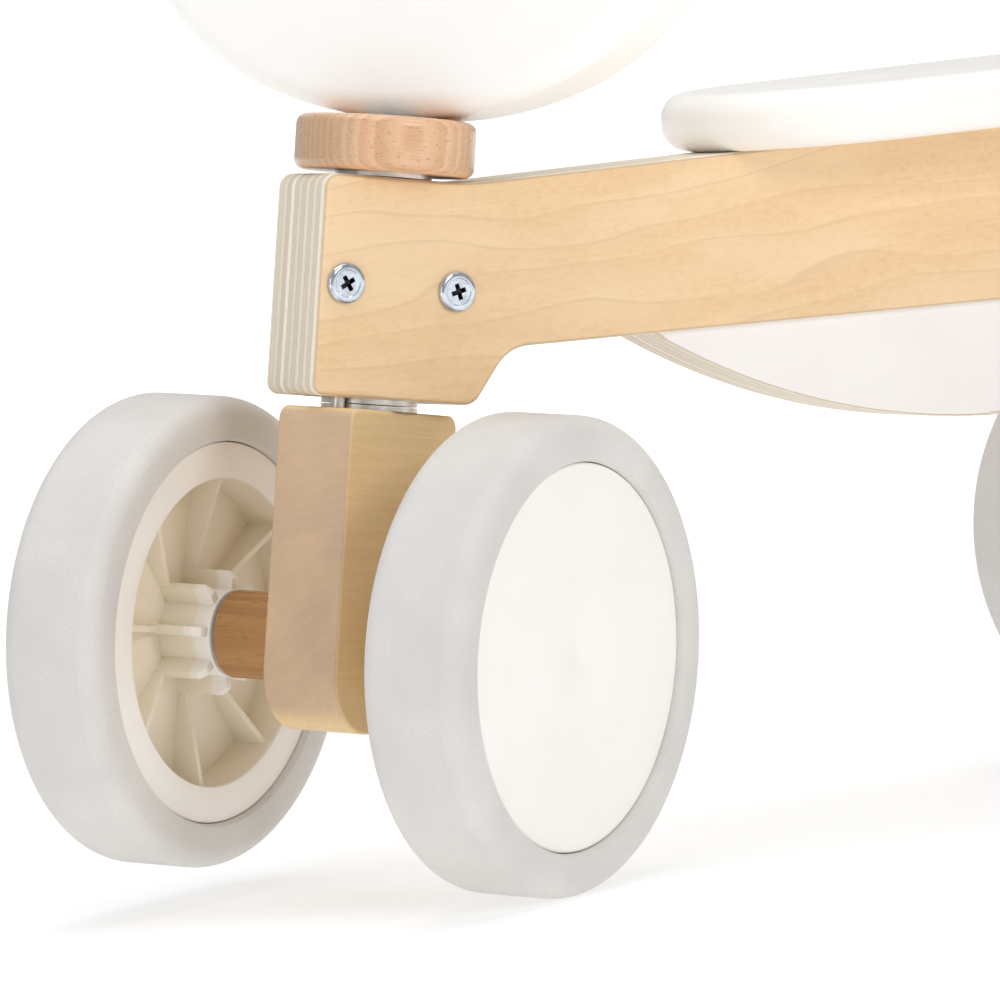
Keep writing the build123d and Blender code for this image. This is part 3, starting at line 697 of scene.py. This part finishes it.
def bolt_head(name, shank_radius, shank_bore):
    """A domed head on z = 0 with its cross pressed in, and its shank below."""
    head = round_blank(name, HEAD_RADIUS, HEAD_HEIGHT, HEAD_HEIGHT / 2, 64)
    rim_width = HEAD_RADIUS - HEAD_FLAT
    select_edges(head, lambda a, b: min(a.z, b.z) > HEAD_HEIGHT - 1e-6)
    bpy.ops.mesh.bevel(offset=HEAD_ROUNDING, segments=6, profile=0.62)
    bpy.ops.mesh.select_mode(type="FACE")
    select_faces(head, lambda centre, normal: normal.z > 0.99 and radius_of(centre) < 1e-4)
    bpy.ops.mesh.inset(thickness=rim_width - HEAD_ROUNDING + 0.00012, depth=0.0)
    bpy.ops.mesh.inset(thickness=0.00022, depth=-0.00016)
    select_faces(head, lambda centre, normal: normal.z < -0.9)
    bpy.ops.mesh.inset(thickness=HEAD_RADIUS - shank_radius, depth=0.0)
    bpy.ops.mesh.extrude_region_move(TRANSFORM_OT_translate={"value": (0, 0, -SHANK)})
    if shank_bore:
        bpy.ops.mesh.inset(thickness=shank_radius - shank_bore, depth=0.0)
        bpy.ops.mesh.extrude_region_move(TRANSFORM_OT_translate={"value": (0, 0, SHANK - 0.001)})
    else:
        bpy.ops.mesh.inset(thickness=0.0004, depth=0.0004)
    bpy.ops.object.mode_set(mode="OBJECT")
    punch = cross_cutter()
    pick(head)
    cut = head.modifiers.new("cross", "BOOLEAN")
    cut.operation = "DIFFERENCE"
    cut.solver = "EXACT"
    cut.use_self = True
    cut.object = punch
    bpy.ops.object.modifier_apply(modifier=cut.name)
    bpy.data.objects.remove(punch)
    return head


chrome = turned_metal("bright_chrome", front_axle, neck_turn, CHROME, CHROME_DULL,
                      rough=0.07, lines=1.0)
# The shaded chrome is painted shade: a near-black plating that stands for the dark inside of each
# cross drive.
painted_drive_shade = turned_metal("shaded_chrome", front_axle, neck_turn, DRIVE_SHADE,
                            DRIVE_SHADE_DULL, rough=0.25, lines=1.0)
neck_middle = front_axle + steer_up * BOLT_UP_NECK
outward_left = Matrix.Rotation(math.radians(-90), 4, "X")
outward_right = Matrix.Rotation(math.radians(90), 4, "X")
for name, outward, half, shank_radius, bore, wanted in (
        ("neck_bolt_heads", outward_left, HALF_BOARD, BOLT_SHANK_RADIUS, 0.0, "neck_bolts"),
        ("neck_nut_heads", outward_right, -HALF_BOARD, NUT_SHANK_RADIUS, NUT_BORE_RADIUS,
         "neck_sleeve_nuts")):
    pattern = close_up(bolt_head(name, shank_radius, bore), 28.0)
    for finish in (chrome, painted_drive_shade):
        pattern.data.materials.append(finish)
    # Faces down in the cross drive take the shaded chrome, as painted shade in the recess.
    for polygon in pattern.data.polygons:
        in_drive = (polygon.center.z > -0.001 and radius_of(polygon.center) < HEAD_FLAT * 0.8
                    and (polygon.normal.z < 0.8 or polygon.center.z < HEAD_HEIGHT - 0.0006))
        polygon.material_index = 1 if in_drive else 0
    pair = []
    for side, twist in ((1, 24.0), (-1, 12.0)):
        spot = neck_middle + neck_forward * BOLT_ALONG_NECK * side + Vector((0, half, 0))
        place = (Matrix.Translation(spot) @ outward
                 @ Matrix.Rotation(math.radians(twist), 4, "Z"))
        pair.append(copy_to(pattern, name + str(side), place))
    bpy.data.objects.remove(pattern)
    heads = join(pair, name)
    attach(heads, "frame")
    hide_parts(wanted)

# ---------------------------------------------------------------------------------------
# Wheels: an injection-moulded cream hub with eight ribs, a soft grey-white tyre stretched
# over its rim, and a white cap snapped into the outer side. All four are the same.
WHEEL_RADIUS = 0.070
TYRE_HALF = 0.0165
TYRE_SHOULDER = 0.0060
TYRE_BORE = 0.0568
TYRE_LIP = 0.0015
TYRE_SEAT = 0.0033
RIM_RADIUS = 0.0540
RING_RADIUS = 0.0565
RING_BORE = 0.0458
RING_FACE = -0.0145
RING_THICKNESS = 0.0028
CAP_FACE = 0.0146
CAP_EDGE = 0.0030
CAP_SKIRT = 0.005
CAP_SKIRT_WALL = 0.002
RIM_SETBACK = 0.0032
HALF_WEB = 0.0015
BOSS_RADIUS = 0.0130
BOSS_FACE = -0.0195
BOSS_OUTER_END = 0.002
BUSHING_RADIUS = 0.0070
RIBS = 8
RIB_KEY = 0.001
FIN_RADIUS = 0.0185
FIN_SETBACK = 0.0006
FIN_CHAMFER = 0.0022
FIN_THICKNESS = 0.0029
GUSSET_LOW, GUSSET_DROP = 0.0030, 0.0025
GUSSET_THICKNESS = 0.0020
GUSSET_RADIUS = RING_BORE + 0.0008


def tyre_blank():
    """The tyre, cut from a round blank: face, lip, seat step and bore on both sides."""
    tyre = round_blank("tyre_blank", WHEEL_RADIUS, 2 * TYRE_HALF, 0.0, 144)
    select_faces(tyre, lambda centre, normal: abs(normal.z) > 0.9)
    bpy.ops.mesh.inset(thickness=WHEEL_RADIUS - TYRE_BORE - TYRE_LIP, depth=0.0)
    bpy.ops.mesh.inset(thickness=TYRE_LIP * 0.5, depth=-TYRE_LIP * 0.14)
    bpy.ops.mesh.inset(thickness=TYRE_LIP * 0.5, depth=-TYRE_LIP * 0.86)
    bpy.ops.mesh.inset(thickness=0.00002, depth=-TYRE_SEAT)
    bpy.ops.mesh.inset(thickness=TYRE_BORE - RIM_RADIUS, depth=0.0)
    bpy.ops.mesh.bridge_edge_loops()
    select_edges(tyre, lambda a, b: (min(radius_of(a), radius_of(b)) > WHEEL_RADIUS - 1e-5
                                     and abs(a.z - b.z) < 1e-6))
    bpy.ops.mesh.bevel(offset=TYRE_SHOULDER, segments=9, profile=0.5)
    return tyre


def cap_blank():
    """The cap: a thin domed disc with a rounded edge, a gate dimple and a snap-in skirt."""
    cap = round_blank("cap_blank", RING_RADIUS, CAP_EDGE, CAP_FACE - CAP_EDGE / 2, 144)
    select_edges(cap, lambda a, b: min(a.z, b.z) > CAP_FACE - 1e-6)
    bpy.ops.mesh.bevel(offset=0.0010, segments=5, profile=0.5)
    bpy.ops.mesh.select_mode(type="FACE")
    select_faces(cap, lambda centre, normal: normal.z > 0.99 and radius_of(centre) < 1e-3)
    for width, rise in ((0.006, 0.00010), (0.012, 0.00014), (0.016, 0.00008), (0.0185, 0.00002)):
        bpy.ops.mesh.inset(thickness=width, depth=rise)
    bpy.ops.mesh.inset(thickness=0.0006, depth=-0.00022)
    select_faces(cap, lambda centre, normal: normal.z < -0.9 and centre.z < CAP_FACE - 0.002)
    bpy.ops.mesh.inset(thickness=RING_RADIUS - RING_BORE + 0.0001, depth=0.0)
    bpy.ops.mesh.extrude_region_move(TRANSFORM_OT_translate={"value": (0, 0, -CAP_SKIRT)})
    bpy.ops.mesh.inset(thickness=CAP_SKIRT_WALL, depth=0.0)
    bpy.ops.mesh.extrude_region_move(TRANSFORM_OT_translate={"value": (0, 0, CAP_SKIRT)})
    return cap


def hub_shell():
    """The hub's rim: ring face, well wall, web and outer side, from one round blank.
    The web runs on across the middle unbored, behind the boss, the bushing and the cap."""
    outer = CAP_FACE - RIM_SETBACK
    shell = round_blank("hub_shell", RIM_RADIUS, outer - RING_FACE - RING_THICKNESS,
                        (outer + RING_FACE + RING_THICKNESS) / 2, 144)
    select_faces(shell, lambda centre, normal: normal.z < -0.9)
    bpy.ops.mesh.extrude_region_move(TRANSFORM_OT_translate={"value": (0, 0, -0.0001)})
    bpy.ops.transform.resize(value=(RING_RADIUS / RIM_RADIUS, RING_RADIUS / RIM_RADIUS, 1.0))
    bpy.ops.mesh.extrude_region_move(
        TRANSFORM_OT_translate={"value": (0, 0, -RING_THICKNESS + 0.0001)})
    bpy.ops.mesh.inset(thickness=RING_RADIUS - RING_BORE, depth=0.0)
    bpy.ops.mesh.inset(thickness=0.0006, depth=HALF_WEB + RING_FACE)
    bpy.ops.mesh.inset(thickness=RING_BORE - BOSS_RADIUS + RIB_KEY, depth=0.0)
    select_faces(shell, lambda centre, normal: normal.z > 0.9 and centre.z > 0.005)
    bpy.ops.mesh.inset(thickness=RIM_RADIUS - RING_BORE, depth=0.0)
    bpy.ops.mesh.inset(thickness=0.0004, depth=HALF_WEB - outer)
    bpy.ops.mesh.inset(thickness=RING_BORE - BOSS_RADIUS, depth=0.0)
    select_edges(shell, lambda a, b: abs(a.z - b.z) < 1e-6 and a.z < RING_FACE + 1e-6
                 and radius_of(a) > 0.044 and radius_of(b) > 0.044)
    bpy.ops.mesh.bevel(offset=0.0005, segments=3, profile=0.5)
    bpy.ops.object.mode_set(mode="OBJECT")
    return shell


def hub_boss():
    """The hub's boss, a tube with softened ends that the bushing is pressed into."""
    depth = BOSS_OUTER_END - BOSS_FACE
    boss = round_blank("hub_boss", BOSS_RADIUS, depth, (BOSS_OUTER_END + BOSS_FACE) / 2, 64)
    select_faces(boss, lambda centre, normal: abs(normal.z) > 0.9)
    bpy.ops.mesh.inset(thickness=BOSS_RADIUS - BUSHING_RADIUS, depth=0.0)
    bpy.ops.mesh.bridge_edge_loops()
    select_edges(boss, lambda a, b: abs(a.z - b.z) < 1e-6)
    bpy.ops.mesh.bevel(offset=0.0004, segments=2, profile=0.5)
    bpy.ops.object.mode_set(mode="OBJECT")
    return boss


def hub_rib(name, corners, thickness, soften):
    """A flat rib in the XZ plane, from its corners, with softened edges."""
    deselect()
    bpy.ops.mesh.primitive_plane_add(size=1.0, location=(0, 0, 0))
    rib = bpy.context.object
    rib.name = name
    mesh = rib.data
    mesh.clear_geometry()
    mesh.from_pydata([(x, -thickness / 2, z) for x, z in corners], [],
                     [list(range(len(corners)))])
    bpy.ops.object.mode_set(mode="EDIT")
    bpy.ops.mesh.select_all(action="SELECT")
    bpy.ops.mesh.extrude_region_move(TRANSFORM_OT_translate={"value": (0, thickness, 0)})
    bpy.ops.mesh.select_all(action="SELECT")
    bpy.ops.mesh.normals_make_consistent(inside=False)
    bpy.ops.mesh.bevel(offset=soften, segments=2, profile=0.5)
    bpy.ops.object.mode_set(mode="OBJECT")
    return rib


def hub_blank():
    """Shell, boss, eight fins on the boss and eight gussets across the web."""
    parts = [hub_shell(), hub_boss()]
    fin_end = BOSS_FACE + FIN_SETBACK
    fin = hub_rib("hub_fin", [
        (BOSS_RADIUS - RIB_KEY, 0.0), (BOSS_RADIUS - RIB_KEY, fin_end),
        (FIN_RADIUS - FIN_CHAMFER, fin_end), (FIN_RADIUS, fin_end + FIN_CHAMFER),
        (FIN_RADIUS, 0.0)], FIN_THICKNESS, soften=0.00035)
    gusset = hub_rib("hub_gusset", [
        (BOSS_RADIUS, 0.0), (BOSS_RADIUS, -GUSSET_LOW),
        (GUSSET_RADIUS, RING_FACE + GUSSET_DROP), (GUSSET_RADIUS, 0.0)],
        GUSSET_THICKNESS, soften=0.0003)
    for number in range(RIBS):
        spin = Matrix.Rotation(math.tau * number / RIBS, 4, "Z")
        parts.append(copy_to(fin, "fin" + str(number), spin))
        parts.append(copy_to(gusset, "gusset" + str(number), spin))
    bpy.data.objects.remove(fin)
    bpy.data.objects.remove(gusset)
    return join(parts, "hub_blank")


def moulded(name, centre, turned, colour, low, rough, relief, gloss, well=None):
    """Soft plastic or rubber with fine moulding grain and faint turned lines.
    A well colour paints the warmer, darker shade that falls inside the hub's well."""
    finish, tree, shader = new_finish(name)
    place = own_place(tree, tuple(centre), tuple(turned.to_euler()))
    spray = place_group(tree, film, {"Place": place, "Peel Size": 0.45, "Cloud Size": 34.0})
    marks = place_group(tree, turned_lines, {"Place": place, "Lines": 1.6})
    tone = tint(tree, ease(tree, spray["Cloud"], 0.3, 0.72), shade(colour), shade(low))
    tone = tint(tree, ease(tree, marks["Lines"], 0.5, 0.8, 0.0, 0.35), tone, shade(low))
    flecking = speckle(tree, place, 0.9, 5.0, 0.8)
    tone = tint(tree, ease(tree, flecking, 0.4, 0.66, 0.0, 0.6), tone, shade(low))
    # Painted shade: inside the hub's well, behind the ring face, the tone is mixed towards the
    # well colour.
    if well:
        depth = add(tree, "ShaderNodeSeparateXYZ", {0: place}).outputs[2]
        inside = reckon(tree, "MULTIPLY", ease(tree, depth, -14.3, -13.2),
                        ease(tree, depth, 6.0, 2.0))
        tone = tint(tree, inside, tone, shade(well))
    tree.links.new(tone, shader.inputs["Base Color"])
    tree.links.new(ease(tree, spray["Rub"], 0.3, 0.7, rough - 0.06, rough + 0.08),
                   shader.inputs["Roughness"])
    shader.inputs["Specular IOR Level"].default_value = gloss
    height = reckon(tree, "ADD", spray["Peel"], reckon(tree, "MULTIPLY", marks["Lines"], 0.6))
    raise_grain(tree, shader, height, relief, 0.6)
    return finish


TYRE_GREY, TYRE_GREY_LOW = (226, 223, 219), (214, 211, 207)
HUB_CREAM, HUB_CREAM_LOW, HUB_WELL_SHADE = (253, 250, 245), (250, 245, 237), (246, 237, 218)
CAP_WHITE, CAP_WHITE_LOW = (252, 250, 245), (249, 246, 240)
NYLON_WHITE, NYLON_LOW = (236, 233, 224), (226, 222, 210)

tyre_pattern = close_up(tyre_blank(), 30.0)
cap_pattern = close_up(cap_blank(), 30.0)
hub_pattern = close_up(hub_blank(), 35.0)
for corner in ("front_left", "front_right", "rear_left", "rear_right"):
    joint = joints[corner + "_spin"]
    centre = Vector(joint["pos_m"])
    outward = Vector(joint["axis"]).normalized() * (1 if corner.endswith("left") else -1)
    forward = fork_forward if corner.startswith("front") else Vector((1, 0, 0))
    wheel_turn = Matrix((forward, outward.cross(forward), outward)).transposed()
    place = Matrix.Translation(centre) @ wheel_turn.to_4x4()
    wheel_body = corner + "_wheel"
    rubber = moulded(corner + "_tyre_rubber", centre, wheel_turn, TYRE_GREY, TYRE_GREY_LOW,
                     rough=0.62, relief=0.00006, gloss=0.3)
    cream = moulded(corner + "_hub_cream", centre, wheel_turn, HUB_CREAM, HUB_CREAM_LOW,
                    rough=0.42, relief=0.00003, gloss=0.4, well=HUB_WELL_SHADE)
    white = moulded(corner + "_cap_white", centre, wheel_turn, CAP_WHITE, CAP_WHITE_LOW,
                    rough=0.36, relief=0.00002, gloss=0.4)
    nylon = moulded(corner + "_bushing_nylon", centre, wheel_turn, NYLON_WHITE, NYLON_LOW,
                    rough=0.4, relief=0.00002, gloss=0.4)
    for pattern, name, finish, replaced, slot_name in (
            (tyre_pattern, "tyre_ring", rubber, "tyre", "tyre"),
            (cap_pattern, "snap_cap", white, "cap", "cap_plastic"),
            (hub_pattern, "ribbed_hub", cream, "hub", "hub_plastic")):
        piece = copy_to(pattern, corner + "_" + name, place, finish)
        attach(piece, wheel_body)
        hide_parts(corner + "_" + replaced)
    dress([corner + "_bushing"], nylon)
for pattern in (tyre_pattern, cap_pattern, hub_pattern):
    bpy.data.objects.remove(pattern)

# ---------------------------------------------------------------------------------------
# Grips and plugs: soft rubber sleeves pushed on the ends of the bar, and white plastic
# plugs pressed in over the heads of the seat's bolts.
GRIP_GREY, GRIP_GREY_LOW = (226, 222, 215), (214, 209, 200)
bar_middle = (sum(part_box("left_grip"), Vector()) + sum(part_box("right_grip"), Vector())) / 4
grip_rubber = moulded("grip_rubber", bar_middle, fork_turn @ on_its_side, GRIP_GREY,
                      GRIP_GREY_LOW, rough=0.6, relief=0.00008, gloss=0.3)
dress(["left_grip", "right_grip"], grip_rubber)
plug_white = moulded("plug_white", bar_middle, bike_turn, CAP_WHITE, CAP_WHITE_LOW,
                     rough=0.4, relief=0.00002, gloss=0.4)
dress(["seat_bolt_plugs"], plug_white)
